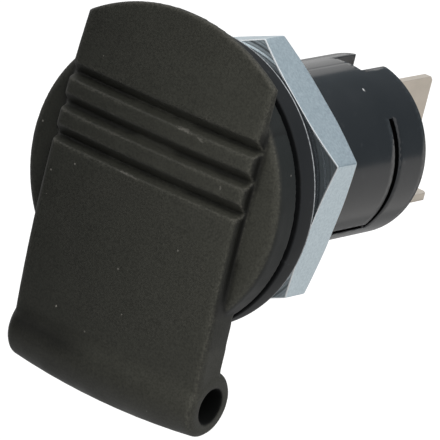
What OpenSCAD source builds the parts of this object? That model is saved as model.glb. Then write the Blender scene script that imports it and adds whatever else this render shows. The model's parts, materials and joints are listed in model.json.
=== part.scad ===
// Panel-mount power socket with a sprung, hinged lid, a hex nut and two blade terminals.
// The socket axis lies along Y, the lid faces -Y and the panel sits at Y = 0.

/* [Plug bore] */
// Diameter of the bore that takes the plug
bore_d = 12.2; // [12:0.05:13]
// Wall of the earth sleeve that lines the bore
sleeve_wall = 0.45; // [0.3:0.05:0.6]
// Radial play of the sleeve in the housing
sleeve_play = 0.05; // [0.02:0.01:0.08]
// Width of the seam along the sleeve
seam_w = 0.6; // [0.3:0.1:1]
// Thickness of the sleeve's collar
collar_t = 0.5; // [0.4:0.05:0.7]

/* [Housing] */
// Diameter of the flange
flange_d = 29.4; // [27:0.1:32]
// Thickness of the flange
flange_t = 2.65; // [2.3:0.05:3.2]
// Bevel on the flange's front edge
flange_bevel = 0.4; // [0.2:0.05:0.6]
// Lip that covers the front edge of the sleeve
lip_t = 0.95; // [0.7:0.05:1.2]
// Wall of the smooth tube
tube_wall = 1.3; // [1:0.05:1.5]
// Step from the tube up to the outside of the thread
thread_step = 1; // [0.6:0.05:1.3]
// Length of the thread behind the panel
thread_l = 13; // [11.5:0.25:14]
// Length of the housing behind the panel
housing_l = 28.55; // [26:0.05:32]
// Distance of the collar's shoulder behind the thread
shoulder_set = 1; // [0.8:0.1:1.5]

/* [Housing cut-outs] */
// Width of the key slot in the rear rim
key_w = 3.3; // [2.5:0.1:4.5]
// Length of the key slot
key_l = 4.25; // [3:0.05:4.8]
// Arc that each snap tongue covers
tongue_arc = 78; // [60:2:100]
// Turn of the tongues toward the key slot
tongue_turn = 1; // [-4:1:4]
// Distance of the tongues' roots behind the shoulder
tongue_set = 1.35; // [0.8:0.05:2]
// Distance of the tongues' free ends from the rear rim
tongue_inset = 5.3; // [4.9:0.1:5.6]
// Width of the slot round a tongue
tongue_gap = 0.75; // [0.4:0.05:0.9]
// Height of the nib inside a tongue
nib_h = 0.5; // [0.3:0.05:0.6]
// Length of the nib along the tongue
nib_l = 1; // [0.6:0.1:1.2]
// Distance of the nib from the tongue's free end
nib_inset = 0.2; // [0.1:0.05:0.3]

/* [Terminal carrier] */
// Wall of the carrier round the sleeve
carrier_wall = 0.95; // [0.85:0.05:1.2]
// Radial play of the carrier in the tube
carrier_play = 0.1; // [0.05:0.01:0.15]
// Depth of the carrier's rear face inside the housing
carrier_inset = 3.8; // [3.2:0.1:4.2]
// Thickness of the carrier's floor
floor_t = 3.5; // [2.75:0.25:4]
// Clearance of the blades in their slots
blade_play = 0.1; // [0.05:0.01:0.15]

/* [Blade terminals] */
// Width of a blade
blade_w = 6.3; // [5.6:0.1:6.8]
// Thickness of a blade
blade_t = 0.8; // [0.6:0.05:0.9]
// Length of the blades beyond the rear rim
blade_l = 12.35; // [9:0.05:14]
// Bevel on the blades' corners
blade_bevel = 0.4; // [0.2:0.1:1]
// Diameter of the hole near a blade's tip
blade_hole_d = 1.7; // [1.2:0.1:2]
// Distance of the hole from a blade's tip
blade_hole_inset = 3.8; // [3:0.1:4.5]
// Depth of the earth blade's middle inside the bore's wall
earth_inset = 0.1; // [0:0.05:0.2]
// Height of the centre blade's middle above the socket axis
centre_rise = 2.8; // [2.2:0.1:2.9]
// Diameter of the centre contact's foot
foot_d = 7.2; // [6:0.2:8]
// Diameter of the centre contact's dome
dome_d = 4.4; // [3:0.2:5]
// Height of the centre contact's dome
dome_h = 1.2; // [0.8:0.1:1.4]
// Gap between the sleeve's end and the tip of the dome
dome_gap = 0.3; // [0.2:0.05:0.6]

/* [Hex nut] */
// Width across the flats
nut_af = 25; // [24:0.5:27]
// Thickness of the nut
nut_t = 4.65; // [4:0.05:5.2]
// Diameter of the faces inside the corner bevels
nut_face_d = 25.4; // [24.5:0.1:27]
// Angle of the corner bevels to the faces
nut_bevel_angle = 20; // [15:1:30]
// Turn of the nut about the axis
nut_turn = 22; // [0:1:60]
// Gap between the flange and the nut
nut_back = 3.65; // [1:0.05:4]
// Radial play of the nut on the thread
nut_play = 0.05; // [0.02:0.01:0.1]

/* [Lid cap] */
// Step of the cap's edge inside the flange's edge
cap_step = 0.15; // [0.1:0.05:0.6]
// Height of the cap from its rear edge to its front rim
cap_h = 2.95; // [2.7:0.05:3.5]
// Rise of the domed front above its rim
cap_dome_h = 0.65; // [0.3:0.05:0.8]
// Wall of the cap's skirt
cap_wall = 1.4; // [1:0.1:1.8]
// Thickness of the cap's top at the rim
cap_top_t = 1.4; // [1.1:0.1:1.7]
// Radius of the rounding along the front rim
cap_round = 0.6; // [0.3:0.05:0.9]
// Gap between the closed cap and the flange
cap_gap = 0.5; // [0.3:0.05:0.8]
// Gap between the skirt and the seal ring
seal_inset = 0.7; // [0.4:0.1:1.5]
// Width of the seal ring
seal_w = 3; // [2:0.25:4]
// Gap between the seal and the flange
seal_gap = 0.1; // [0.05:0.05:0.2]

/* [Lid plate] */
// Width of the raised plate, tab to hinge
plate_w = 22.4; // [20:0.1:24]
// Rounding along the plate's two long edges
plate_edge_r = 0.7; // [0.4:0.05:1]
// Rise of the plate's crown above the dome
plate_h = 1.6; // [1.4:0.05:2.2]
// Radius of the plate's crowned front
plate_crown_r = 130; // [100:5:180]
// Drop of the crown's highest point below the socket axis
plate_crown_drop = 2; // [0:0.5:4]
// Height of the tab's top above the cap's edge
tab_rise = 2.7; // [2:0.1:4]
// Radius of the tab's arched top
tab_arc_r = 18.65; // [17:0.05:22]
// Radius of the tab's two corners
tab_corner_r = 0.8; // [0.5:0.1:1.5]
// Thickness of the tab below the crown
tab_t = 2.1; // [1.8:0.1:2.4]
// Thickness of the arm where it leaves the cap
arm_t = 4.05; // [3.7:0.05:4.4]
// Lean of the arm's rear face toward the panel
arm_lean = 3.8; // [2:0.1:4.5]

/* [Grip grooves] */
// Number of grooves across the plate
groove_count = 3; // [1:1:3]
// Spacing of the grooves
groove_pitch = 3.15; // [2.4:0.05:3.6]
// Distance of the first groove below the tab's top
groove_drop = 8.75; // [7.5:0.05:10]
// Depth of a groove
groove_depth = 1.25; // [0.8:0.05:1.3]
// Height of a groove's sloped upper wall
groove_slope_h = 1.25; // [0.8:0.05:1.5]
// Height of a groove's steep lower wall
groove_ledge_h = 0.45; // [0.2:0.05:0.6]

/* [Hinge] */
// Drop of the hinge axis below the flange's edge
hinge_below = 4.3; // [4:0.05:6]
// Distance of the hinge axis ahead of the flange
hinge_lead = 1.45; // [1.3:0.05:1.9]
// Length of the lid's hinge barrel
barrel_l = 22.6; // [21:0.1:25]
// Diameter of the barrel near its ends
barrel_d = 6.6; // [6.3:0.1:7.2]
// Bow that the barrel gains toward its middle
barrel_bow = 0.7; // [0.4:0.05:0.9]
// Rounding of the barrel's ends
barrel_round = 0.5; // [0.2:0.05:0.6]
// Diameter of the hinge pin
pin_d = 3.5; // [3:0.1:3.7]
// Depth of the pin's ends inside the barrel
pin_recess = 2.8; // [1:0.05:3.5]
// Radial play of the lid on the pin
pin_play = 0.05; // [0.02:0.01:0.1]
// Radial clearance of the pin in the ears
pin_fit = 0.01; // [0.005:0.005:0.02]
// Wall of the housing's ears round the pin
ear_wall = 0.95; // [0.8:0.05:1.05]
// Width of one ear
ear_w = 2.6; // [2:0.1:3]
// Room between the two ears for the spring
ear_room = 7; // [6:0.25:8]
// Clearance of the lid round the ears
ear_clear = 0.3; // [0.2:0.05:0.35]
// Angle through which the lid opens
lid_travel = 105; // [90:5:110]

/* [Lid spring] */
// Diameter of the spring wire
wire_d = 0.6; // [0.4:0.05:0.65]
// Full turns of the spring
spring_turns = 6; // [4:1:7]
// Clearance of the coil round the pin
spring_play = 0.2; // [0.1:0.05:0.25]
// Clearance at the spring's two legs
leg_gap = 0.08; // [0.05:0.01:0.12]
// Thickness of the web that the spring's upper leg rests on
web_t = 1.1; // [0.8:0.1:1.2]

/* [Hidden] */
$fn = 96;
fine = 360;
eps = 0.02;
over = 2;

// Radii, from the bore outward
bore_r = bore_d / 2;
sleeve_r = bore_r + sleeve_wall;
chamber_r = sleeve_r + sleeve_play;
carrier_bore_r = sleeve_r + carrier_play;
carrier_r = carrier_bore_r + carrier_wall;
tube_inner_r = carrier_r + carrier_play;
tube_r = tube_inner_r + tube_wall;
thread_r = tube_r + thread_step;
flange_r = flange_d / 2;
cap_r = flange_r - cap_step;
cap_inner_r = cap_r - cap_wall;
dome_r = (cap_r * cap_r + cap_dome_h * cap_dome_h) / (2 * cap_dome_h);
seal_r = cap_inner_r - seal_inset;
nut_corner_r = nut_af / sqrt(3);

// Places along Y, from the panel forward
flange_front = -flange_t;
cap_rear = flange_front - cap_gap;
cap_rim = cap_rear - cap_h;
cap_inside = cap_rim + cap_top_t;
dome_front = cap_rim - cap_dome_h;
crown_front = dome_front - plate_h;
tab_rear = crown_front + tab_t;
arm_rear = crown_front + arm_t;
hinge_y = flange_front - hinge_lead;

// Places along Y, from the panel backward
sleeve_front = flange_front + lip_t + sleeve_play;
shoulder_y = thread_l + shoulder_set;
collar_front = shoulder_y + sleeve_play;
collar_rear = collar_front + collar_t;
carrier_front = collar_rear + carrier_play;
carrier_rear = housing_l - carrier_inset;
floor_front = carrier_rear - floor_t;
foot_front = floor_front - blade_t;
sleeve_rear = foot_front - dome_h - dome_gap;
blade_tip = housing_l + blade_l;
tongue_root = shoulder_y + tongue_set;
tongue_y = housing_l - tongue_inset;
nib_rear = tongue_y - tongue_gap / 2 - nib_inset;
nib_front = nib_rear - nib_l;

// Places along Z
hinge_z = -flange_r - hinge_below;
tab_top = cap_r + tab_rise;
tab_arc_z = tab_top - tab_arc_r;
groove_top = tab_top - groove_drop;
earth_z = earth_inset - bore_r;

// Hinge, across X and round its axis
pin_r = pin_d / 2;
pin_l = barrel_l - 2 * pin_recess;
ear_r = pin_r + ear_wall;
ear_mid = (ear_room + ear_w) / 2;
pocket_r = ear_r + ear_clear;
pocket_w = ear_room + 2 * ear_w + 2 * ear_clear;
barrel_end_r = barrel_d / 2;
barrel_mid_r = barrel_end_r + barrel_bow;
coil_r = pin_r + spring_play + wire_d / 2;
coil_w = ear_room - 2 * ear_clear - 2 * wire_d;

// Hinge, as angles and places about its axis from +Y toward +Z
neck_angle = 30;
stop_angle = 17;
wall_end_angle = neck_angle - stop_angle - lid_travel;
arm_side_angle = 82;
neck_rear = hinge_lead + flange_t - flange_bevel;
neck_top = hinge_below + flange_t;
web_front = coil_r + wire_d / 2 + leg_gap;
leg_angle = wall_end_angle + asin((wire_d / 2 + leg_gap) / (pocket_r + wire_d / 2));

// Turns a profile of radius and Y about the socket axis, from angle a0 through a
module revolve_y(a0 = 0, a = 360) {
    rotate([90, 0, 0])
        mirror([0, 0, 1])
            rotate([0, 0, a0])
                rotate_extrude(angle = a)
                    children();
}

// Cylinder along Y from y0 to y1
module rod_y(r, y0, y1) {
    translate([0, y0, 0])
        rotate([-90, 0, 0])
            cylinder(r = r, h = y1 - y0);
}

// Extrudes an outline of X and Z from y0 to y1
module slab_y(y0, y1) {
    translate([0, y1, 0])
        rotate([90, 0, 0])
            linear_extrude(y1 - y0)
                children();
}

// Extrudes a profile of Y and Z to a width w across X
module slab_x(w) {
    translate([-w / 2, 0, 0])
        rotate([90, 0, 90])
            linear_extrude(w)
                children();
}

// Places children on the hinge axis
module at_hinge() {
    translate([0, hinge_y, hinge_z])
        children();
}

// Cylinder along X about the origin
module rod_x(r, w) {
    rotate([0, 90, 0])
        cylinder(r = r, h = w, center = true);
}

module block(x, y, z) {
    translate([x[0], y[0], z[0]])
        cube([x[1] - x[0], y[1] - y[0], z[1] - z[0]]);
}

function polar(r, a) = [r * cos(a), r * sin(a)];

// Lid

module cap_body() {
    round_step = 30;
    intersection() {
        revolve_y()
            polygon(concat(
                [[0, cap_rear], [0, dome_front - over], [cap_r - cap_round, dome_front - over]],
                [for (a = [-90 : round_step : 0]) [cap_r - cap_round, cap_rim + cap_round] + polar(cap_round, a)],
                [[cap_r, cap_rear]]
            ));
        translate([0, dome_front + dome_r, 0])
            sphere(r = dome_r, $fn = fine);
    }
}

// Outline of the plate from the front, wider than its side walls
module plate_outline() {
    wide = plate_w + over;
    translate([-wide / 2, hinge_z])
        square([wide, tab_arc_z - hinge_z]);
    intersection() {
        translate([0, tab_arc_z])
            circle(r = tab_arc_r, $fn = fine);
        translate([-wide / 2, tab_arc_z - over])
            square([wide, tab_arc_r + 2 * over]);
    }
}

// Waste outside the rounding of the tab's corner on +X
module tab_corner_waste() {
    corner_x = plate_w / 2 - tab_corner_r;
    corner_up = sqrt(pow(tab_arc_r - tab_corner_r, 2) - corner_x * corner_x);
    spread = 5;
    arc_angle = atan2(corner_up, corner_x);
    translate([corner_x, tab_arc_z + corner_up])
        difference() {
            polygon(concat([[0, 0]], [for (a = [-spread, arc_angle / 2, arc_angle + spread]) polar(2 * over, a)]));
            circle(r = tab_corner_r + eps);
        }
}

module plate_side_profile() {
    arm_top = -cap_inner_r / 3;
    arm_foot = arm_rear + (arm_top - hinge_z) * tan(arm_lean);
    polygon([
        [crown_front - over, hinge_z],
        [arm_foot, hinge_z],
        [arm_rear, arm_top],
        [tab_rear, arm_top],
        [tab_rear, tab_top + over],
        [crown_front - over, tab_top + over]
    ]);
}

module crown() {
    translate([0, crown_front + plate_crown_r, -plate_crown_drop])
        children();
}

// Side walls of the plate, with edges rounded in steps where they meet the crown
module plate_sides() {
    edge_x = plate_w / 2 - plate_edge_r;
    edge_front = sqrt(pow(plate_crown_r - plate_edge_r, 2) - edge_x * edge_x);
    crown_angle = atan2(edge_x, edge_front);
    steps = 3;
    rounding = [for (i = [0 : steps])
        [edge_front, edge_x] + polar(plate_edge_r, 90 + i * (crown_angle - 90) / steps)];
    crown()
        rotate([0, 90, 0])
            rotate_extrude($fn = fine)
                polygon(concat(
                    [[0, plate_w / 2]],
                    rounding,
                    [polar(plate_crown_r + over, crown_angle), polar(plate_crown_r + over, -crown_angle)],
                    [for (i = [steps : -1 : 0]) [rounding[i][0], -rounding[i][1]]],
                    [[0, -plate_w / 2]]
                ));
}

module plate() {
    intersection() {
        slab_y(crown_front - over, -eps)
            plate_outline();
        plate_sides();
        slab_x(plate_w + over)
            plate_side_profile();
        crown()
            sphere(r = plate_crown_r, $fn = fine);
    }
}

// One groove with a sloped upper wall and a steep lower wall, turned about the crown's upright axis
module groove(top) {
    up = top + plate_crown_drop;
    front = sqrt(plate_crown_r * plate_crown_r - up * up);
    slope = groove_slope_h / groove_depth;
    ledge = groove_ledge_h / groove_depth;
    crown()
        rotate([0, 0, 180])
            rotate_extrude($fn = fine)
                polygon([
                    [front + over, up + over * slope],
                    [front - groove_depth, up - groove_slope_h],
                    [front + over, up - groove_slope_h - (groove_depth + over) * ledge]
                ]);
}

// Hinge barrel, bowed along an arc in steps, with rounded ends
module barrel() {
    half = barrel_l / 2 - barrel_round;
    arc_r = (half * half + barrel_bow * barrel_bow) / (2 * barrel_bow);
    steps = 5;
    bow = [for (i = [-steps : steps])
        let (x = half * i / steps)
            [barrel_mid_r - arc_r + sqrt(arc_r * arc_r - x * x), x]];
    at_hinge()
        rotate([0, 90, 0])
            rotate_extrude()
                polygon(concat(
                    [[0, -barrel_l / 2], [barrel_end_r - barrel_round, -barrel_l / 2]],
                    bow,
                    [[barrel_end_r - barrel_round, barrel_l / 2], [0, barrel_l / 2]]
                ));
}

// Room in the barrel for the ears and the spring, open toward the panel
module hinge_pocket() {
    reach = 2 * barrel_mid_r;
    at_hinge() {
        rod_x(pocket_r, pocket_w);
        slab_x(pocket_w)
            polygon([
                [0, 0],
                polar(reach / cos(90 + wall_end_angle), wall_end_angle),
                [reach, -reach],
                [reach, reach],
                polar(reach / sin(arm_side_angle), arm_side_angle)
            ]);
    }
}

module lid() {
    color("#32322d")
        difference() {
            union() {
                cap_body();
                plate();
                barrel();
            }
            rod_y(cap_inner_r, cap_inside, over);
            for (i = [0 : groove_count - 1])
                groove(groove_top - i * groove_pitch);
            for (side = [0, 1])
                mirror([side, 0, 0])
                    slab_y(crown_front - over, tab_rear + over)
                        tab_corner_waste();
            hinge_pocket();
            at_hinge()
                rod_x(pin_r + pin_play, barrel_l + over);
        }
}

module lid_seal() {
    color("#26272a")
        revolve_y()
            translate([seal_r - seal_w, cap_inside])
                square([seal_w, flange_front - seal_gap - cap_inside]);
}

// Hinge

module hinge_pin() {
    color("silver")
        at_hinge()
            rod_x(pin_r, pin_l);
}

function spring_angle(t) = leg_angle + t * (360 * spring_turns - leg_angle);

spring_steps = 24 * (spring_turns + 1);

// Centre line of the spring in X, Y and Z about the hinge axis: leg, coil, leg
spring_path = concat(
    [for (r = [barrel_end_r, (barrel_end_r + coil_r) / 2])
        [coil_w / 2, polar(r, leg_angle)[0], polar(r, leg_angle)[1]]],
    [for (i = [0 : spring_steps])
        let (t = i / spring_steps, p = polar(coil_r, spring_angle(t)))
            [coil_w / 2 - t * coil_w, p[0], p[1]]],
    [for (k = [1 : 2])
        [-coil_w / 2, coil_r, k * (pocket_r + web_t) / 2]]
);

function unit(v) = v / norm(v);

function path_dir(p, i) = unit(p[min(i + 1, len(p) - 1)] - p[max(i - 1, 0)]);

// Ring of points round a path, square to its direction
function wire_ring(p, i, r, sides) =
    let (t = path_dir(p, i), x = [1, 0, 0], a = unit(x - (x * t) * t), b = cross(t, a))
        [for (k = [0 : sides - 1]) p[i] + r * cos(360 * k / sides) * a + r * sin(360 * k / sides) * b];

module wire(path, d, sides = 8) {
    rings = len(path);
    points = [for (i = [0 : rings - 1]) each wire_ring(path, i, d / 2, sides)];
    walls = [for (i = [0 : rings - 2], k = [0 : sides - 1])
        let (n = (k + 1) % sides)
            [i * sides + k, (i + 1) * sides + k, (i + 1) * sides + n, i * sides + n]];
    start = [for (k = [0 : sides - 1]) k];
    end = [for (k = [sides - 1 : -1 : 0]) (rings - 1) * sides + k];
    polyhedron(points, concat(walls, [start, end]), convexity = 10);
}

module lid_spring() {
    color("#b9bcc0")
        at_hinge()
            wire(spring_path, wire_d);
}

// Housing

module flange() {
    revolve_y()
        polygon([
            [0, flange_front],
            [flange_r - flange_bevel, flange_front],
            [flange_r, flange_front + flange_bevel],
            [flange_r, -flange_bevel / 2],
            [flange_r - flange_bevel / 2, 0],
            [0, 0]
        ]);
}

module ears() {
    neck_root = polar(ear_r, neck_angle);
    neck_corner = [neck_rear, hinge_below];
    sink = 0.3;
    for (side = [-1, 1])
        translate([side * ear_mid, 0, 0])
            at_hinge() {
                rod_x(ear_r, ear_w);
                slab_x(ear_w)
                    polygon([
                        [hinge_lead, 0],
                        neck_root + sink * (neck_root - neck_corner),
                        neck_corner,
                        [neck_rear, neck_top],
                        [hinge_lead, neck_top]
                    ]);
            }
    at_hinge()
        slab_x(ear_room + eps)
            translate([web_front, pocket_r])
                square([web_t, neck_top - pocket_r]);
}

module barrel_tube() {
    revolve_y()
        polygon([
            [0, -eps],
            [thread_r, -eps],
            [thread_r, thread_l - thread_step],
            [tube_r, thread_l],
            [tube_r, housing_l],
            [0, housing_l]
        ]);
}

module key_slot() {
    block([-key_w / 2, key_w / 2], [housing_l - key_l, housing_l + over], [tube_inner_r - over, tube_r + over]);
}

// Slot round two sides of a snap tongue: across its free end and along its lower edge
module tongue_slot() {
    across_r = [tube_inner_r - eps, tube_r + over];
    revolve_y(-tongue_arc / 2, tongue_arc)
        translate([across_r[0], tongue_y - tongue_gap / 2])
            square([across_r[1] - across_r[0], tongue_gap]);
    rotate([0, tongue_arc / 2, 0])
        block(across_r, [tongue_root, tongue_y + tongue_gap / 2], [-tongue_gap / 2, tongue_gap / 2]);
}

// Nib that locks the carrier, on the middle of a tongue's free end
module tongue_nib() {
    revolve_y(-tongue_arc / 4, tongue_arc / 2)
        translate([tube_inner_r - nib_h, nib_front])
            square([nib_h + eps, nib_l]);
}

module socket_housing() {
    color("#22252b") {
        difference() {
            union() {
                flange();
                ears();
                barrel_tube();
            }
            rod_y(bore_r + sleeve_play, flange_front - over, housing_l);
            rod_y(chamber_r, flange_front + lip_t, housing_l);
            rod_y(tube_inner_r, shoulder_y, housing_l + over);
            key_slot();
            for (turn = [0, 180])
                rotate([0, turn - tongue_turn, 0])
                    tongue_slot();
            at_hinge()
                rod_x(pin_r + pin_fit, pocket_w);
        }
        for (turn = [0, 180])
            rotate([0, turn - tongue_turn, 0])
                tongue_nib();
    }
}

module hex_nut() {
    outer_r = nut_corner_r + over;
    bevel = (outer_r - nut_face_d / 2) * tan(nut_bevel_angle);
    color("#b4bec4")
        translate([0, nut_back, 0])
            difference() {
                intersection() {
                    slab_y(0, nut_t)
                        rotate(nut_turn)
                            circle(r = nut_corner_r, $fn = 6);
                    revolve_y()
                        polygon([
                            [0, 0],
                            [nut_face_d / 2, 0],
                            [outer_r, bevel],
                            [outer_r, nut_t - bevel],
                            [nut_face_d / 2, nut_t],
                            [0, nut_t]
                        ]);
                }
                rod_y(thread_r + nut_play, -over, nut_t + over);
            }
}

// Contacts

// Blade in the plane of X and Y, with bevelled corners and a hole near its tip
module blade(start) {
    half = blade_w / 2;
    translate([0, 0, -blade_t / 2])
        linear_extrude(blade_t)
            difference() {
                polygon([
                    [-half, start],
                    [half, start],
                    [half, blade_tip - blade_bevel],
                    [half - blade_bevel, blade_tip],
                    [blade_bevel - half, blade_tip],
                    [-half, blade_tip - blade_bevel]
                ]);
                translate([0, blade_tip - blade_hole_inset])
                    circle(d = blade_hole_d);
            }
}

module earth_contact() {
    color("#b2aba0") {
        difference() {
            union() {
                rod_y(sleeve_r, sleeve_front, sleeve_rear);
                rod_y(carrier_r, collar_front, collar_rear);
            }
            rod_y(bore_r, sleeve_front - over, sleeve_rear + over);
            block([-seam_w / 2, seam_w / 2], [sleeve_front - over, sleeve_rear + over], [0, tube_r]);
        }
        translate([0, 0, earth_z])
            blade(sleeve_rear - eps);
    }
}

module centre_contact() {
    dome_sphere_r = (pow(dome_d / 2, 2) + dome_h * dome_h) / (2 * dome_h);
    color("#b2aba0") {
        rod_y(foot_d / 2, foot_front, floor_front);
        intersection() {
            rod_y(dome_d / 2, foot_front - dome_h - over, foot_front + eps);
            translate([0, foot_front - dome_h + dome_sphere_r, 0])
                sphere(r = dome_sphere_r);
        }
        translate([0, 0, centre_rise])
            rotate([0, 90, 0])
                blade(foot_front);
    }
}

module blade_slot(start) {
    half = blade_w / 2 + blade_play;
    block([-half, half], [start, carrier_rear + over],
          [-blade_t / 2 - blade_play, blade_t / 2 + blade_play]);
}

module terminal_carrier() {
    color("#2b2d31")
        difference() {
            rod_y(carrier_r, carrier_front, carrier_rear);
            rod_y(carrier_bore_r, carrier_front - over, floor_front);
            revolve_y()
                translate([tube_inner_r - nib_h - carrier_play, nib_front - carrier_play])
                    square([tube_wall + nib_h, nib_l + 2 * carrier_play]);
            translate([0, 0, earth_z])
                blade_slot(sleeve_rear - blade_play);
            translate([0, 0, centre_rise])
                rotate([0, 90, 0])
                    blade_slot(floor_front - over);
        }
}

socket_housing();
terminal_carrier();
earth_contact();
centre_contact();
hex_nut();
lid();
lid_seal();
hinge_pin();
lid_spring();
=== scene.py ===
import bpy
import bmesh
import json
import math
from mathutils import Matrix, Vector


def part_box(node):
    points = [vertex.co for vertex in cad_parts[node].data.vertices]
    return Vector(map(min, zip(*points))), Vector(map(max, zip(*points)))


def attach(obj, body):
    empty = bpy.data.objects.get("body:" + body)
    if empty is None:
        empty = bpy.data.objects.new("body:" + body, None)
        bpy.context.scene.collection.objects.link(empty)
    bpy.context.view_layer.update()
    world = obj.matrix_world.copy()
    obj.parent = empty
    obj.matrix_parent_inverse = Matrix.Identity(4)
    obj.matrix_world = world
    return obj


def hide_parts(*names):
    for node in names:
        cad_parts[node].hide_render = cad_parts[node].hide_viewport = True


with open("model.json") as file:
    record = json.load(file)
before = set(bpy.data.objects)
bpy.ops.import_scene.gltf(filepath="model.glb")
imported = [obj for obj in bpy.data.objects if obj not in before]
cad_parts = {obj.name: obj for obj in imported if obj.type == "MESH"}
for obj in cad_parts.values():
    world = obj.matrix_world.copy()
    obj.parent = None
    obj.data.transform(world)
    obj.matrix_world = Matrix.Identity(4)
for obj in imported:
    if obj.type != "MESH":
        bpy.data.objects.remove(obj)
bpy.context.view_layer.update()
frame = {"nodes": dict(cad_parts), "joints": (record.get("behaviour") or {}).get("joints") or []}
mm = 0.001


# Small helpers for numbers and meshes

def rad(deg):
    return math.radians(deg)


def polar(r, deg):
    return (r * math.cos(rad(deg)), r * math.sin(rad(deg)))


def unit(value):
    return min(1.0, max(0.0, value))


def ramp(value, start, end):
    # 0 at the start, 1 at the end
    return unit((value - start) / (end - start))


def band(value, middle, half):
    # 1 in the middle, 0 from half a width away
    return max(0.0, 1 - abs(value - middle) / half)


def gridLines(low, high, step, marks):
    # evenly spaced lines that also pass through every mark
    stops = sorted({round(v, 9) for v in [low, high, *marks] if low <= v <= high})
    lines = []
    for a, b in zip(stops, stops[1:]):
        n = max(1, math.ceil((b - a) / step))
        lines += [a + (b - a) * i / n for i in range(n)]
    return lines + [stops[-1]]


def mergedCopy(nodeName, gap=0.002 * mm):
    bm = bmesh.new()
    bm.from_mesh(frame["nodes"][nodeName].data)
    bmesh.ops.remove_doubles(bm, verts=bm.verts, dist=gap)
    return bm


def roundLoop(points, radius, steps=4, straight=89, longest=0.45):
    # fillets every corner of a closed outline, along at most that share of its shorter side
    out = []
    count = len(points)
    for i, point in enumerate(points):
        p = Vector(point)
        a = Vector(points[i - 1]) - p
        b = Vector(points[(i + 1) % count]) - p
        shorter = min(a.length, b.length)
        a.normalize()
        b.normalize()
        half = a.angle(b) / 2
        if half > rad(straight):
            out.append((p.x, p.y))
            continue
        reach = min(radius / math.tan(half), longest * shorter)
        r = reach * math.tan(half)
        centre = p + (a + b).normalized() * (r / math.sin(half))
        start = p + a * reach - centre
        arc = start.angle_signed(p + b * reach - centre)
        for k in range(steps + 1):
            turned = Matrix.Rotation(-arc * k / steps, 2) @ start
            out.append((centre.x + turned.x, centre.y + turned.y))
    return out


def turnedVert(bm, r, deg, y):
    # a point at a radius and angle about the socket axis
    x, z = polar(r, deg)
    return bm.verts.new((x, y, z))


def bridge(bm, near, far):
    # quads between two closed rings
    count = len(near)
    for k in range(count):
        n = (k + 1) % count
        bm.faces.new((near[k], near[n], far[n], far[k]))


def latheY(bm, loop, steps):
    # turns a closed loop of (radius, y) about the socket axis
    rings = [[turnedVert(bm, r, 360 * k / steps, y) for k in range(steps)] for r, y in loop]
    for i in range(len(rings)):
        bridge(bm, rings[i - 1], rings[i])


def extrudeX(bm, outline, x0, x1):
    # closed outline of (y, z) drawn out along X
    near = [bm.verts.new((x0, y, z)) for y, z in outline]
    far = [bm.verts.new((x1, y, z)) for y, z in outline]
    bm.faces.new(near)
    bm.faces.new(far[::-1])
    bridge(bm, near, far)


def asObject(name, bm):
    bmesh.ops.recalc_face_normals(bm, faces=bm.faces)
    mesh = bpy.data.meshes.new(name)
    bm.to_mesh(mesh)
    bm.free()
    obj = bpy.data.objects.new(name, mesh)
    bpy.context.scene.collection.objects.link(obj)
    return obj


def bakeModifiers(obj):
    graph = bpy.context.evaluated_depsgraph_get()
    graph.update()
    plain = bpy.data.meshes.new_from_object(obj.evaluated_get(graph))
    obj.modifiers.clear()
    obj.data = plain
    plain.name = obj.name


def roundEdges(obj, width, segments=2, angle=35):
    bevel = obj.modifiers.new("roundEdges", "BEVEL")
    bevel.width = width
    bevel.segments = segments
    bevel.limit_method = "ANGLE"
    bevel.angle_limit = rad(angle)
    bevel.harden_normals = True
    bevel.use_clamp_overlap = True
    bevel.miter_outer = "MITER_ARC"
    bakeModifiers(obj)


def smoothByAngle(mesh, deg):
    mesh.polygons.foreach_set("use_smooth", [True] * len(mesh.polygons))
    mesh.set_sharp_from_angle(angle=rad(deg))


def addFloat(mesh, name, values, domain="POINT"):
    layer = mesh.attributes.new(name, "FLOAT", domain)
    layer.data.foreach_set("value", values)


def convexity(mesh, scale, passes=2, tiny=1e-12):
    # 0 on flats and hollows, up to 1 on outer edges; a negative scale finds inner corners
    bm = bmesh.new()
    bm.from_mesh(mesh)
    values = []
    for v in bm.verts:
        around = [e.other_vert(v).co for e in v.link_edges]
        mid = sum(around, Vector()) / max(1, len(around))
        reach = sum((p - v.co).length_squared for p in around) / max(1, len(around))
        bend = (v.co - mid).dot(v.normal) / max(reach, tiny)
        values.append(unit(bend * scale))
    for _ in range(passes):
        means = [
            sum(values[e.other_vert(v).index] for e in v.link_edges) / max(1, len(v.link_edges))
            for v in bm.verts
        ]
        values = [(own + mean) / 2 for own, mean in zip(values, means)]
    bm.free()
    return values


def dress(obj, material, body, slot, *nodes):
    obj.data.materials.clear()
    obj.data.materials.append(material)
    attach(obj, body)
    if nodes:
        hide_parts(*nodes)
    return obj


# Helpers for node trees

def newTree(name, kind, inputs, outputs):
    # a shader or geometry tree whose inputs are named numbers
    tree = bpy.data.node_groups.new(name, kind + "NodeTree")
    for label, value in inputs.items():
        socket = tree.interface.new_socket(label, in_out="INPUT", socket_type="NodeSocketFloat")
        socket.default_value = value
    outKind = "NodeSocketGeometry" if kind == "Geometry" else "NodeSocketFloat"
    for label in outputs:
        tree.interface.new_socket(label, in_out="OUTPUT", socket_type=outKind)
    return tree, tree.nodes.new("NodeGroupInput"), tree.nodes.new("NodeGroupOutput")


def fill(tree, node, values):
    # links each value that is a socket, and sets the others
    for label, value in values.items():
        if isinstance(value, bpy.types.NodeSocket):
            tree.links.new(value, node.inputs[label])
        else:
            node.inputs[label].default_value = value


def addNode(tree, kind, values, **settings):
    node = tree.nodes.new(kind)
    for name, setting in settings.items():
        setattr(node, name, setting)
    fill(tree, node, values)
    return node


def mathNode(tree, operation, a, b=0.0, clamp=False):
    node = addNode(tree, "ShaderNodeMath", {0: a, 1: b}, operation=operation, use_clamp=clamp)
    return node.outputs[0]


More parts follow.
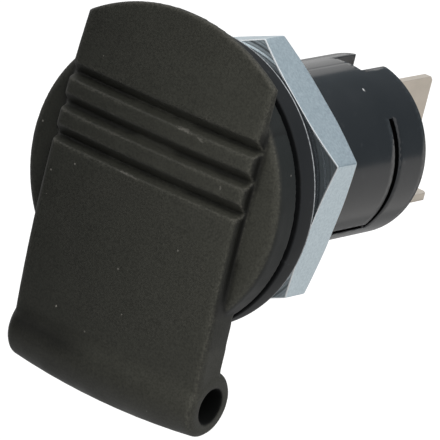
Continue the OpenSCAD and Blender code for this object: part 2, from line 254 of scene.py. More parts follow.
def plus(tree, a, b):
    return mathNode(tree, "ADD", a, b)


def minus(tree, a, b):
    return mathNode(tree, "SUBTRACT", a, b)


def times(tree, a, b, clamp=False):
    return mathNode(tree, "MULTIPLY", a, b, clamp)


def square(tree, a):
    return mathNode(tree, "POWER", a, 2.0)


def spread(tree, value, low, high, toLow=0.0, toHigh=1.0):
    values = {"Value": value, "From Min": low, "From Max": high, "To Min": toLow, "To Max": toHigh}
    return addNode(tree, "ShaderNodeMapRange", values).outputs["Result"]


def between(tree, mask, atZero, atOne):
    return spread(tree, mask, 0.0, 1.0, atZero, atOne)


def noise(tree, vector, scale, detail=2.0, rough=0.5):
    values = {"Vector": vector, "Scale": scale, "Detail": detail, "Roughness": rough}
    return addNode(tree, "ShaderNodeTexNoise", values).outputs["Fac"]


def objectCoords(tree):
    return tree.nodes.new("ShaderNodeTexCoord").outputs["Object"]


def placeParts(tree):
    # X, Y and Z of the Object coordinates
    return addNode(tree, "ShaderNodeSeparateXYZ", {0: objectCoords(tree)}).outputs


def fromAxis(tree):
    # distance from the socket axis
    place = placeParts(tree)
    return mathNode(tree, "SQRT", plus(tree, square(tree, place["X"]), square(tree, place["Z"])))


# Shader groups that the finishes share

skinLook = dict(
    grainScale=9000.0, grainDetail=3.0, grainRough=0.6, grainSpan=(0.3, 0.7), grainHeight=0.8,
    blotchScale=180.0, blotchDetail=4.0, blotchRough=0.55, blotchSpan=(0.32, 0.68), blotchHeight=0.2,
)


def makeGrainGroup(s):
    # moulded or cast skin: fine grain, broad blotches and one height for bump
    inputs = {"Grain Scale": s["grainScale"], "Blotch Scale": s["blotchScale"]}
    tree, feed, out = newTree("mouldedSkin", "Shader", inputs, ["Grain", "Blotch", "Height"])
    place = objectCoords(tree)
    heights = []
    for kind in ("grain", "blotch"):
        label = kind.title()
        value = noise(tree, place, feed.outputs[label + " Scale"], s[kind + "Detail"], s[kind + "Rough"])
        fill(tree, out, {label: spread(tree, value, *s[kind + "Span"])})
        heights.append(times(tree, value, s[kind + "Height"]))
    fill(tree, out, {"Height": plus(tree, *heights)})
    return tree


dustLook = dict(
    speckScale=700.0, speckSize=0.07, speckRare=0.86, scratchScale=260.0, scratchTurn=(0.5, 0.3, 0.9),
    scratchStretch=(1.0, 14.0, 14.0), scratchDetail=1.0, scratchRough=0.4, scratchSpan=(0.72, 0.76),
)


def makeDustGroup(s):
    # sparse light specks and short hair scratches
    inputs = {"Speck Scale": s["speckScale"], "Speck Size": s["speckSize"], "Scratch Scale": s["scratchScale"]}
    tree, feed, out = newTree("dustAndScratches", "Shader", inputs, ["Specks", "Scratches"])
    place = objectCoords(tree)
    spots = {"Vector": place, "Scale": feed.outputs["Speck Scale"]}
    cells = addNode(tree, "ShaderNodeTexVoronoi", spots).outputs
    chance = addNode(tree, "ShaderNodeTexWhiteNoise", {"Vector": cells["Position"]}).outputs["Value"]
    near = mathNode(tree, "LESS_THAN", cells["Distance"], feed.outputs["Speck Size"])
    rare = mathNode(tree, "GREATER_THAN", chance, s["speckRare"])
    turn = {"Vector": place, "Rotation": s["scratchTurn"], "Scale": s["scratchStretch"]}
    turned = addNode(tree, "ShaderNodeMapping", turn).outputs["Vector"]
    streak = noise(tree, turned, feed.outputs["Scratch Scale"], s["scratchDetail"], s["scratchRough"])
    fill(tree, out, {"Specks": times(tree, near, rare), "Scratches": spread(tree, streak, *s["scratchSpan"])})
    return tree


scuffLook = dict(
    length=1.0 * mm, width=0.3 * mm, reach=1.5 * mm, fade=(0.9, 0.2),
    raggedScale=5200.0, raggedDetail=3.0, raggedRough=0.7, raggedShare=5.0,
)


def makeScuffGroup(s):
    # one rubbed spot at a fixed place on the piece, broken up by fine noise
    inputs = {"Centre X": 0.0, "Centre Y": 0.0, "Centre Z": 0.0, "Lean": 0.0,
              "Length": s["length"], "Width": s["width"], "Reach": s["reach"]}
    tree, feed, out = newTree("rubbedSpot", "Shader", inputs, ["Mask"])
    place = placeParts(tree)
    x, y, z = [minus(tree, place[a], feed.outputs["Centre " + a]) for a in "XYZ"]
    cosine = mathNode(tree, "COSINE", feed.outputs["Lean"])
    sine = mathNode(tree, "SINE", feed.outputs["Lean"])
    along = plus(tree, times(tree, x, cosine), times(tree, z, sine))
    across = minus(tree, times(tree, z, cosine), times(tree, x, sine))
    ragged = noise(tree, objectCoords(tree), s["raggedScale"], s["raggedDetail"], s["raggedRough"])
    far = times(tree, minus(tree, ragged, 0.5), s["raggedShare"])
    for part, size in ((along, "Length"), (across, "Width"), (y, "Reach")):
        far = plus(tree, far, square(tree, mathNode(tree, "DIVIDE", part, feed.outputs[size])))
    fill(tree, out, {"Mask": spread(tree, far, *s["fade"])})
    return tree


turningLook = dict(ringScale=5200.0, wander=0.04 * mm, swayScale=350.0, ringDetail=2.0, ringSpan=(0.3, 0.7))


def makeTurningGroup(s):
    # rings left by a lathe about the socket axis, broken by wander
    inputs = {"Ring Scale": s["ringScale"], "Wander": s["wander"]}
    tree, feed, out = newTree("turningMarks", "Shader", inputs, ["Rings"])
    sway = minus(tree, noise(tree, objectCoords(tree), s["swayScale"]), 0.5)
    away = plus(tree, fromAxis(tree), times(tree, sway, feed.outputs["Wander"]))
    values = {"W": away, "Scale": feed.outputs["Ring Scale"], "Detail": s["ringDetail"]}
    rings = addNode(tree, "ShaderNodeTexNoise", values, noise_dimensions="1D").outputs["Fac"]
    fill(tree, out, {"Rings": spread(tree, rings, *s["ringSpan"])})
    return tree


grainGroup = makeGrainGroup(skinLook)
dustGroup = makeDustGroup(dustLook)
turningGroup = makeTurningGroup(turningLook)
scuffGroup = makeScuffGroup(scuffLook)


# Finishes

def newFinish(name):
    material = bpy.data.materials.new(name)
    material.use_nodes = True
    tree = material.node_tree
    return material, tree, tree.nodes["Principled BSDF"]


def useGroup(tree, group, **values):
    spaced = lambda label: "".join(" " + c if c.isupper() else c for c in label).title()
    inputs = {spaced(label): value for label, value in values.items()}
    return addNode(tree, "ShaderNodeGroup", inputs, node_tree=group).outputs


def useSkin(tree, s):
    return useGroup(tree, grainGroup, grainScale=s["grainScale"], blotchScale=s["blotchScale"])


def tint(tree, factor, a, b):
    a, b = [(*c, 1.0) if isinstance(c, tuple) else c for c in (a, b)]
    return addNode(tree, "ShaderNodeMix", {0: factor, 6: a, 7: b}, data_type="RGBA").outputs[2]


def bumped(tree, height, s):
    values = {"Strength": s["bump"], "Distance": s["depth"], "Height": height}
    return addNode(tree, "ShaderNodeBump", values).outputs["Normal"]


def addScuffs(tree, base, colour, spots):
    # lays each rubbed spot over the colour below it; its sizes are in mm
    for centre, length, width, reach, lean, strength in spots:
        x, y, z = [c * mm for c in centre]
        spot = useGroup(tree, scuffGroup, centreX=x, centreY=y, centreZ=z, lean=lean,
                        length=length * mm, width=width * mm, reach=reach * mm)
        base = tint(tree, times(tree, spot["Mask"], strength), base, colour)
    return base


def readAttribute(tree, name):
    return addNode(tree, "ShaderNodeAttribute", {}, attribute_name=name).outputs["Fac"]


lidFinish = dict(
    dark=(0.0085, 0.0088, 0.0071), light=(0.0158, 0.0162, 0.0131), toneGrain=(0.2, 0.8),
    grainScale=4800.0, grainTone=0.8, blotchScale=330.0, blotchTone=0.2,
    # film colour: painted light, a lighter grainy colour toward +X on faces that face front
    film=(0.055, 0.0545, 0.0445), paintedLightX=(-13.5 * mm, 15.0 * mm), paintedLightCover=0.76, paintedLightGrain=(0.4, 0.8),
    edge=(0.07, 0.066, 0.055), edgeGrain=(0.3, 0.8), edgeLeast=0.1, wall=(0.0074, 0.0088, 0.0085),
    # the two darkest colours on the next line are painted shade, in hollows and in the hinge hole
    paintedShade=(0.002, 0.002, 0.0018), paintedShadeCover=0.8, hole=(0.0012, 0.0014, 0.0013), holeRough=0.9,
    dust=(0.2, 0.19, 0.17), dustCover=0.35, speckScale=690.0, speckSize=0.07,
    rough=(0.46, 0.6), specular=0.3, bump=0.45, depth=0.03 * mm,
    scuffs=[  # centre, length, width, reach, lean and strength
        ((3.2, -8.05, 6.75), 0.9, 0.18, 1.5, -0.05, 0.22),
        ((5.2, -8.0, 6.5), 0.5, 0.14, 1.5, -0.2, 0.2),
        ((-1.6, -8.3, 0.45), 1.4, 0.1, 1.5, -0.02, 0.18),
        ((-6.1, -7.7, -15.0), 0.13, 0.13, 1.5, 0.0, 0.9),
        ((8.6, -8.0, 2.9), 0.15, 0.35, 1.5, -0.2, 0.2),
    ],
)


def makeLidFinish(s):
    material, tree, shader = newFinish("lidMattePlastic")
    skin = useSkin(tree, s)
    grain, blotch = skin["Grain"], skin["Blotch"]
    fine = times(tree, spread(tree, grain, *s["toneGrain"]), s["grainTone"])
    base = tint(tree, plus(tree, fine, times(tree, blotch, s["blotchTone"])), s["dark"], s["light"])
    paintedLightShare = spread(tree, placeParts(tree)["X"], *s["paintedLightX"], 0.0, s["paintedLightCover"])  # painted light: lighter toward one side
    paintedLightShare = times(tree, paintedLightShare, readAttribute(tree, "front"))
    base = tint(tree, times(tree, paintedLightShare, between(tree, grain, *s["paintedLightGrain"])), base, s["film"])
    # edge wear with a painted highlight: lighter along rounded edges, broken by grain
    patchy = spread(tree, grain, *s["edgeGrain"], s["edgeLeast"], 1.0)
    base = tint(tree, times(tree, readAttribute(tree, "edgeWearAndHighlight"), patchy), base, s["edge"])
    # painted shade on the cap's side wall by the gap to the flange, a little darker and cooler
    base = tint(tree, readAttribute(tree, "rimWall"), base, s["wall"])
    # painted shade in hollows and creases, in the neck above the barrel and at the foot of the plate's side
    # walls
    base = tint(tree, times(tree, readAttribute(tree, "paintedShade"), s["paintedShadeCover"]), base, s["paintedShade"])
    dust = useGroup(tree, dustGroup, speckScale=s["speckScale"], speckSize=s["speckSize"])
    base = tint(tree, times(tree, dust["Specks"], s["dustCover"]), base, s["dust"])
    base = addScuffs(tree, base, s["dust"], s["scuffs"])
    # painted shade inside the hinge holes, with a rougher surface there
    inHole = readAttribute(tree, "pinHole")
    satin = between(tree, blotch, *s["rough"])
    fill(tree, shader, {
        "Base Color": tint(tree, inHole, base, s["hole"]),
        "Roughness": mathNode(tree, "MAXIMUM", satin, times(tree, inHole, s["holeRough"])),
        "Specular IOR Level": s["specular"],
        "Normal": bumped(tree, skin["Height"], s),
    })
    return material


housingSkin = dict(
    grainScale=2600.0, blotchScale=120.0, depth=0.02 * mm, speckScale=500.0, speckSize=0.05, speckCover=0.5,
    scratchScale=150.0, scratchCover=0.25,
)
bodyFinish = dict(
    housingSkin, dark=(0.0065, 0.0078, 0.0092), light=(0.0095, 0.011, 0.0128), scratch=(0.06, 0.062, 0.065),
    rough=(0.13, 0.21), specular=0.5, bump=0.05, slot=(0.001, 0.001, 0.001), nickColour=(0.5, 0.5, 0.5),
    nicks=[((4.17, 21.4, 7.98), 0.3, 0.12, 0.14, -0.7, 1.0)],  # written as the lid's scuffs
)
flangeFinish = dict(
    housingSkin, dark=(0.0065, 0.0075, 0.0085), light=(0.0105, 0.0115, 0.0125), scratch=(0.05, 0.052, 0.055),
    # front is painted shade where the lid's rim shuts; the line along the rear edge is a painted highlight
    rough=(0.5, 0.64), specular=0.2, bump=0.2, endY=0.25 * mm, front=(0.0015, 0.0015, 0.0015),
    frontY=(-2.5 * mm, -2.62 * mm), frontR=(11.0 * mm, 13.6 * mm), frontCover=0.8,
    rub=(0.5, 0.52, 0.54), rubY=-0.25 * mm, rubHalf=0.14 * mm, rubR=14.5 * mm, rubLeast=0.4,
)


def addFlangeShadeAndHighlight(tree, base, grain, s):
    # painted shade where the lid's rim shuts, and a painted highlight line along the rear edge
    y, radius = placeParts(tree)["Y"], fromAxis(tree)
    ring = spread(tree, radius, *s["frontR"], 0.0, s["frontCover"])
    base = tint(tree, times(tree, spread(tree, y, *s["frontY"]), ring), base, s["front"])
    near = mathNode(tree, "ABSOLUTE", minus(tree, y, s["rubY"]))
    outside = mathNode(tree, "GREATER_THAN", radius, s["rubR"])
    line = times(tree, spread(tree, near, s["rubHalf"], 0.0), outside)
    return tint(tree, times(tree, line, between(tree, grain, s["rubLeast"], 1.0)), base, s["rub"])


def makeBodyFinish(name, s):
    material, tree, shader = newFinish(name)
    skin = useSkin(tree, s)
    dust = useGroup(tree, dustGroup, **{k: s[k] for k in ("speckScale", "speckSize", "scratchScale")})
    scratches = times(tree, dust["Scratches"], s["scratchCover"])
    marks = mathNode(tree, "MAXIMUM", scratches, times(tree, dust["Specks"], s["speckCover"]))
    base = tint(tree, skin["Blotch"], s["dark"], s["light"])
    base = tint(tree, marks, base, s["scratch"])
    if "nicks" in s:
        base = addScuffs(tree, base, s["nickColour"], s["nicks"])
    if "rub" in s:
        base = addFlangeShadeAndHighlight(tree, base, skin["Grain"], s)
    if "slot" in s:
        # painted shade on the slots' side walls
        base = tint(tree, readAttribute(tree, "slotWall"), base, s["slot"])
    fill(tree, shader, {
        "Base Color": base,
        "Roughness": between(tree, skin["Blotch"], *s["rough"]),
        "Specular IOR Level": s["specular"],
        "Normal": bumped(tree, skin["Height"], s),
    })
    return material


plainSkin = dict(grainScale=5000.0, blotchScale=260.0, depth=0.03 * mm)
carrierFinish = dict(
    plainSkin, dark=(0.008, 0.008, 0.009), light=(0.014, 0.014, 0.015), rough=(0.42, 0.58), bump=0.2,
)
rubberFinish = dict(
    plainSkin, dark=(0.011, 0.011, 0.012), light=(0.021, 0.021, 0.022), rough=(0.62, 0.8), bump=0.3,
)


def makePlainFinish(name, s):
    material, tree, shader = newFinish(name)
    skin = useSkin(tree, s)
    fill(tree, shader, {
        "Base Color": tint(tree, skin["Blotch"], s["dark"], s["light"]),
        "Roughness": between(tree, skin["Blotch"], *s["rough"]),
        "Normal": bumped(tree, skin["Height"], s),
    })
    return material


nutFinish = dict(
    pale=(0.71, 0.815, 0.87), deep=(0.55, 0.655, 0.715), bright=(0.85, 0.89, 0.91), rough=(0.32, 0.42),
    grainScale=7000.0, blotchScale=3800.0, bump=0.3, depth=0.015 * mm,
    # groove colour: painted shade over the turning marks on the turned faces
    ringScale=4200.0, groove=(0.22, 0.245, 0.265), grooveCover=0.8,
    turnedRough=(0.2, 0.38), turnedMetal=0.945, turnedDepth=2.6,
    glintTurn=113.0, glintReach=(0.68, 0.9), glintRings=(0.15, 0.7), glintLift=0.6,
)


def nutGlint(tree, rings, s):
    # painted glint: two opposite sectors of the faces, fixed in place, where the rings show lit
    place = placeParts(tree)
    cosine, sine = polar(1.0, s["glintTurn"])
    along = plus(tree, times(tree, place["X"], cosine), times(tree, place["Z"], sine))
    share = mathNode(tree, "DIVIDE", mathNode(tree, "ABSOLUTE", along), fromAxis(tree))
    lift = spread(tree, rings, *s["glintRings"], s["glintLift"], 0.0)
    return times(tree, spread(tree, share, *s["glintReach"]), lift)


def makeNutFinish(s):
    material, tree, shader = newFinish("nutZinc")
    skin = useSkin(tree, s)
    rings = useGroup(tree, turningGroup, ringScale=s["ringScale"])["Rings"]
    turned = readAttribute(tree, "turnedFace")
    grooves = times(tree, rings, turned)
    base = tint(tree, skin["Blotch"], s["deep"], s["pale"])
    # turning marks, with painted shade that darkens the turned faces
    base = tint(tree, times(tree, grooves, s["grooveCover"]), base, s["groove"])
    # painted highlight: the rounded edges between faces are paler
    base = tint(tree, readAttribute(tree, "brightEdge"), base, s["bright"])
    oxide = between(tree, turned, 1.0, s["turnedMetal"])  # the turned faces are duller
    glint = times(tree, nutGlint(tree, rings, s), turned)
    grainy = between(tree, skin["Blotch"], *s["rough"])
    ringed = between(tree, rings, *s["turnedRough"])
    fill(tree, shader, {
        "Base Color": base,
        "Metallic": minus(tree, oxide, glint),
        "Roughness": addNode(tree, "ShaderNodeMix", {0: turned, 2: grainy, 3: ringed}).outputs[0],
        "Normal": bumped(tree, plus(tree, skin["Height"], times(tree, grooves, s["turnedDepth"])), s),
    })
    return material


metalSkin = dict(
    grainScale=3000.0, blotchScale=350.0, lineScale=900.0, lineDetail=3.0, lineRough=0.6, lineSpan=(0.3, 0.7),
    toneShare=0.6, bump=0.15,
)
tinFinish = dict(
    metalSkin, pale=(0.72, 0.65, 0.565), deep=(0.58, 0.525, 0.45), rough=(0.28, 0.42), depth=0.02 * mm,
    streak=(6.0, 0.4, 6.0),
)
steelFinish = dict(
    metalSkin, pale=(0.58, 0.58, 0.58), deep=(0.42, 0.42, 0.43), rough=(0.25, 0.4), depth=0.01 * mm,
    streak=(5.0, 1.0, 1.0),
)
pinFinish = dict(
    steelFinish, streak=(0.5, 5.0, 5.0), endX=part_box("hinge_pin")[1].x, endFade=(0.5 * mm, 0.1 * mm),
    # the end colour is painted shade on the pin's ends
    endShade=(0.03, 0.031, 0.03),
)


def makeMetalFinish(name, s):
    # plated or drawn metal with streaks along one axis
    material, tree, shader = newFinish(name)
    turn = {"Vector": objectCoords(tree), "Scale": s["streak"]}
    turned = addNode(tree, "ShaderNodeMapping", turn).outputs["Vector"]
    lines = noise(tree, turned, s["lineScale"], s["lineDetail"], s["lineRough"])
    tone = times(tree, plus(tree, lines, useSkin(tree, s)["Blotch"]), s["toneShare"], True)
    base = tint(tree, tone, s["deep"], s["pale"])
    if "endX" in s:  # painted shade on the ends, which sit recessed in the hinge holes
        fade = [s["endX"] - d for d in s["endFade"]]
        outward = mathNode(tree, "ABSOLUTE", placeParts(tree)["X"])
        base = tint(tree, spread(tree, outward, *fade), base, s["endShade"])
    fill(tree, shader, {
        "Base Color": base,
        "Metallic": 1.0,
        "Roughness": spread(tree, lines, *s["lineSpan"], *s["rough"]),
        "Normal": bumped(tree, lines, s),
    })
    return material


lidPlastic = makeLidFinish(lidFinish)
bodyPlastic = makeBodyFinish("bodyGlossPlastic", bodyFinish)
flangePlastic = makeBodyFinish("flangeMattePlastic", flangeFinish)
carrierPlastic = makePlainFinish("carrierPlastic", carrierFinish)
sealRubber = makePlainFinish("sealRubber", rubberFinish)
nutZinc = makeNutFinish(nutFinish)
contactTin = makeMetalFinish("contactTin", tinFinish)
pinSteel = makeMetalFinish("pinSteel", pinFinish)
springSteel = makeMetalFinish("springSteel", steelFinish)
print("finishes ready:", len(bpy.data.materials))


# Hinge place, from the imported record

hinge = next(j for j in frame["joints"] if j["name"] == "lid_hinge")
hingeY, hingeZ = hinge["pos_m"][1], hinge["pos_m"][2]


# Lid, a moulded shell whose edges and corners are softened

lidShape = dict(
    voxel=0.17 * mm, softPasses=2, creasePasses=45, faceCount=100000,
    creaseX=10.3 * mm, creaseY=-6.3 * mm, creaseZ=(-19.0 * mm, -14.2 * mm),
)
lidMarks = dict(  # each lean is a share of the normal, from 0 face on to 1 side on
    # these set painted edge highlights with some wear, painted shade and painted light on the lid
    wearAndHighlightScale=0.0005, paintedShadeScale=0.006, paintedShadePasses=5, lineLean=0.6,
    belowZ=-13.0 * mm, frontY=-6.3 * mm, neckX=(-0.5 * mm, -5.0 * mm), neckZ=-18.0 * mm, neckHalf=1.9 * mm,
    neckShade=0.85, endX=9.5 * mm, endWearAndHighlight=0.6, endSoft=0.2, endPaintedLight=0.45, paintedLightLean=(0.9, 0.55),
    capR=14.55 * mm, rimBand=0.6 * mm, rimWearAndHighlight=0.45, rimSoft=0.25, wallNear=0.15 * mm,
    wallY=(-6.0 * mm, -5.5 * mm), plateHalf=11.2 * mm, plateNear=0.3 * mm, lineHighlight=0.5, lineSoft=0.15,
    footLean=0.75, footY=(-7.75 * mm, -7.0 * mm), footZ=(9.6 * mm, 8.8 * mm), holeR=(2.05 * mm, 1.85 * mm),
)


def dropBubbles(bm):
    # the remesh leaves tiny closed bubbles inside the wall; only the main shell stays
    shells, seen = [], set()
    for first in bm.verts:
        if first in seen:
            continue
        shell, front = {first}, [first]
        while front:
            v = front.pop()
            fresh = {e.other_vert(v) for e in v.link_edges} - shell
            shell |= fresh
            front.extend(fresh)
        seen |= shell
        shells.append(shell)
    main = max(shells, key=len)
    bmesh.ops.delete(bm, geom=[v for v in bm.verts if v not in main], context="VERTS")


def relax(bm, verts, passes):
    for _ in range(passes):
        bmesh.ops.smooth_vert(bm, verts=verts, factor=0.5, use_axis_x=True, use_axis_y=True, use_axis_z=True)


def markLid(mesh, s):
    # edge wear with painted highlights, painted shade and painted light, as values that the finish reads
    wearAndHighlight = convexity(mesh, s["wearAndHighlightScale"])
    paintedShade = convexity(mesh, -s["paintedShadeScale"], s["paintedShadePasses"])
    film, wall, hole = [], [], []
    for v in mesh.vertices:
        x, y, z = v.co
        i, lean, radius = v.index, abs(v.normal.x), math.hypot(x, z)
        atHinge = z < s["belowZ"]
        # the lines along the barrel's ends, the cap's rim and the plate's long edges are painted highlights,
        # partly wear
        rub = 0.0
        if atHinge:
            # painted shade in the crease above the barrel, stronger to the left
            inNeck = band(z, s["neckZ"], s["neckHalf"]) * (y < s["frontY"])
            paintedShade[i] = s["neckShade"] * inNeck * ramp(x, *s["neckX"])
            if abs(x) > s["endX"]:
                rub = s["endWearAndHighlight"] * band(lean, s["lineLean"], s["endSoft"])
        elif radius > s["capR"] - s["rimBand"] and y < s["wallY"][1]:
            rub = s["rimWearAndHighlight"] * band(abs(v.normal.y), s["lineLean"], s["rimSoft"])
        if abs(abs(x) - s["plateHalf"]) < s["plateNear"]:
            rub = max(rub, s["lineHighlight"] * band(lean, s["lineLean"], s["lineSoft"]))
            # painted shade at the foot of the plate's side walls over the cap
            if lean > s["footLean"]:
                paintedShade[i] = max(paintedShade[i], ramp(y, *s["footY"]) * ramp(abs(z), *s["footZ"]))
        wearAndHighlight[i] = max(wearAndHighlight[i], rub)
        # painted light share: none on faces turned sideways, which stay darker as painted shade, and part on
        # the hinge barrel
        film.append(max(s["endPaintedLight"] * atHinge, ramp(lean, *s["paintedLightLean"])))
        # painted shade band on the cap's side wall near its rear edge
        wall.append(ramp(y, *s["wallY"]) * (abs(radius - s["capR"]) < s["wallNear"]))
        # share of painted shade inside the hinge hole
        hole.append(ramp(math.hypot(y - hingeY, z - hingeZ), *s["holeR"]))
    marks = {"edgeWearAndHighlight": wearAndHighlight, "front": film, "paintedShade": paintedShade, "rimWall": wall, "pinHole": hole}
    for name, values in marks.items():
        addFloat(mesh, name, values)


def makeLid(s):
    lid = asObject("lidShell", mergedCopy("lid"))
    remesh = lid.modifiers.new("skin", "REMESH")
    remesh.mode = "VOXEL"
    remesh.voxel_size = s["voxel"]
    bakeModifiers(lid)
    bm = bmesh.new()
    bm.from_mesh(lid.data)
    dropBubbles(bm)
    relax(bm, bm.verts, s["softPasses"])
    low, high = s["creaseZ"]
    inCrease = lambda p: low < p.z < high and p.y < s["creaseY"] and abs(p.x) < s["creaseX"]
    relax(bm, [v for v in bm.verts if inCrease(v.co)], s["creasePasses"])
    bm.to_mesh(lid.data)
    bm.free()
    thin = lid.modifiers.new("thin", "DECIMATE")
    thin.ratio = min(1.0, s["faceCount"] / (2 * len(lid.data.polygons)))  # the remesh makes quads
    bakeModifiers(lid)
    smoothByAngle(lid.data, 180)
    markLid(lid.data, lidMarks)
    return dress(lid, lidPlastic, "lid", "lid_plastic", "lid")


lid = makeLid(lidShape)
print("lid faces:", len(lid.data.polygons))


# Node trees for what winds along a path

def endTree(tree, out, geometry, material):
    real = addNode(tree, "GeometryNodeRealizeInstances", {0: geometry}).outputs[0]
    paint = addNode(tree, "GeometryNodeSetMaterial", {"Geometry": real, "Material": material})
    fill(tree, out, {"Geometry": paint.outputs["Geometry"]})


def runTree(name, tree, values):
    host = bpy.data.objects.new(name, bpy.data.meshes.new(name))
    bpy.context.scene.collection.objects.link(host)
    modifier = host.modifiers.new(name, "NODES")
    modifier.node_group = tree
    for item in tree.interface.items_tree:
        if item.in_out == "INPUT" and item.name in values:
            modifier[item.identifier] = values[item.name]
    bakeModifiers(host)
    return host


def moved(tree, geometry, place, turn):
    values = {"Geometry": geometry, "Translation": place, "Rotation": turn}
    return addNode(tree, "GeometryNodeTransform", values).outputs["Geometry"]


def helix(tree, feed, perTurn, rightHand):
    # coil along Z from the tree's Radius, Turns and Pitch, with its normals toward the axis
    radius, turns, pitch = [feed.outputs[label] for label in ("Radius", "Turns", "Pitch")]
    spiral = addNode(tree, "GeometryNodeCurveSpiral", {
        "Resolution": perTurn, "Reverse": rightHand, "Start Radius": radius, "End Radius": radius,
        "Rotations": turns, "Height": times(tree, turns, pitch),
    })
    upright = {"Curve": spiral.outputs["Curve"]}
    return addNode(tree, "GeometryNodeSetCurveNormal", upright, mode="Z_UP").outputs["Curve"]


def sweep(tree, path, profile, scale=1.0):
    values = {"Curve": path, "Profile Curve": profile, "Scale": scale, "Fill Caps": True}
    return addNode(tree, "GeometryNodeCurveToMesh", values).outputs["Mesh"]


# Thread ridge on the barrel, which fades out at both ends

threadShape = {
    "Turns": 7.5, "Pitch": 1.5 * mm, "Radius": 9.61 * mm, "Root Width": 1.04 * mm, "Crest Width": 0.22 * mm,
    "Height": 0.74 * mm, "Fade": 14.0,
}
threadMesh = dict(start=0.75 * mm, perTurn=72, leastSize=0.02, smooth=25)


def makeThread(s, m):
    tree, feed, out = newTree("barrelThread", "Geometry", s, ["Geometry"])
    ridge = addNode(tree, "GeometryNodeCurvePrimitiveQuadrilateral", {
        "Bottom Width": feed.outputs["Root Width"], "Top Width": feed.outputs["Crest Width"],
        "Height": feed.outputs["Height"], "Offset": 0.0,
    }, mode="TRAPEZOID")
    along = tree.nodes.new("GeometryNodeSplineParameter").outputs["Factor"]
    rise = times(tree, along, feed.outputs["Fade"], True)
    fall = times(tree, minus(tree, 1.0, along), feed.outputs["Fade"], True)
    size = mathNode(tree, "MAXIMUM", times(tree, rise, fall), m["leastSize"])
    profile = moved(tree, ridge.outputs["Curve"], (0, 0, 0), (0, 0, rad(-90)))
    winding = sweep(tree, helix(tree, feed, m["perTurn"], True), profile, size)
    endTree(tree, out, moved(tree, winding, (0, m["start"], 0), (rad(-90), 0, 0)), bodyPlastic)
    thread = runTree("barrelThread", tree, s)
    smoothByAngle(thread.data, m["smooth"])
    return dress(thread, bodyPlastic, "socket", "housing_plastic")


thread = makeThread(threadShape, threadMesh)
print("thread faces:", len(thread.data.polygons))


# Torsion spring: coil and upper leg stay with the socket, the lower leg swings with the lid

springLegs = dict(x=2.6 * mm, upperTop=4.1 * mm, lowerAngle=-85.4, lowerR=3.3 * mm)
springTurns = 6.237
springShape = {
    "Turns": springTurns, "Pitch": 2 * springLegs["x"] / springTurns,
    "Radius": 2.25 * mm, "Wire Radius": 0.3 * mm,
}
springMesh = dict(perTurn=40, wireSides=14, smooth=40)


def straight(tree, start, end):
    return addNode(tree, "GeometryNodeCurvePrimitiveLine", {"Start": start, "End": end}).outputs["Curve"]


def wire(tree, feed, path, m):
    section = {"Resolution": m["wireSides"], "Radius": feed.outputs["Wire Radius"]}
    return sweep(tree, path, addNode(tree, "GeometryNodeCurvePrimitiveCircle", section).outputs["Curve"])


def makeCoil(s, legs, m):
    x, rear = legs["x"], hingeY + s["Radius"]
    tree, feed, out = newTree("springCoil", "Geometry", s, ["Geometry"])
    coil = moved(tree, helix(tree, feed, m["perTurn"], False), (-x, hingeY, hingeZ), (rad(90), 0, rad(90)))
    top = straight(tree, (-x, rear, hingeZ), (-x, rear, hingeZ + legs["upperTop"]))
    both = tree.nodes.new("GeometryNodeJoinGeometry")
    for path in (coil, top):
        tree.links.new(wire(tree, feed, path, m), both.inputs[0])
    endTree(tree, out, both.outputs[0], springSteel)
    spring = runTree("springCoil", tree, s)
    smoothByAngle(spring.data, m["smooth"])
    return dress(spring, springSteel, "socket", "spring_steel", "lid_spring")


def makeLidLeg(s, legs, m):
    tree, feed, out = newTree("springLidLeg", "Geometry", s, ["Geometry"])
    ends = [polar(r, legs["lowerAngle"]) for r in (s["Radius"], legs["lowerR"])]
    path = straight(tree, *[(legs["x"], hingeY + y, hingeZ + z) for y, z in ends])
    endTree(tree, out, wire(tree, feed, path, m), springSteel)
    leg = runTree("springLidLeg", tree, s)
    smoothByAngle(leg.data, m["smooth"])
    return dress(leg, springSteel, "lid", "spring_steel")


spring = makeCoil(springShape, springLegs, springMesh)
makeLidLeg(springShape, springLegs, springMesh)
print("spring faces:", len(spring.data.polygons))


# Housing: turned front, threaded barrel, slotted tube, ears and web

housingShape = dict(
    flangeR=14.7 * mm, flangeT=2.65 * mm, flangeRound=0.24 * mm, mouthR=6.15 * mm, boreR=6.6 * mm,
    lip=0.95 * mm, coreR=9.35 * mm, coreEnd=12.2 * mm, joinY=13.3 * mm, joinStep=0.3 * mm, tubeR=9.0 * mm,
    tubeInnerR=7.7 * mm, shoulderY=14.0 * mm, rearY=28.55 * mm, steps=192, smooth=30,
)
cutOuts = dict(
    keyHalf=1.65 * mm, keyFront=24.3 * mm, tongueY=23.25 * mm, tongueGap=0.75 * mm, tongueRoot=15.35 * mm,
    tongueLow=-38.0, tongueHigh=40.0, edgeRound=0.13 * mm, seamHalf=0.45, seamDepth=0.02 * mm,
    hornRoom=3.0, hornRound=0.38 * mm, hornSteps=3, hornNear=0.01 * mm,
    angleStep=2.0, rowStep=0.9 * mm, sameAngle=0.001, wallLean=0.3, wallFromKey=1.5,
)


def addFront(bm, s):
    lipY = s["lip"] - s["flangeT"]
    outline = [
        (s["mouthR"], -s["flangeT"]), (s["flangeR"], -s["flangeT"]), (s["flangeR"], 0.0), (s["coreR"], 0.0),
        (s["coreR"], s["coreEnd"]), (s["tubeR"], s["joinY"] - s["joinStep"]), (s["tubeR"], s["joinY"]),
        (s["boreR"], s["joinY"]), (s["boreR"], lipY), (s["mouthR"], lipY),
    ]
    latheY(bm, roundLoop(outline, s["flangeRound"]), s["steps"])


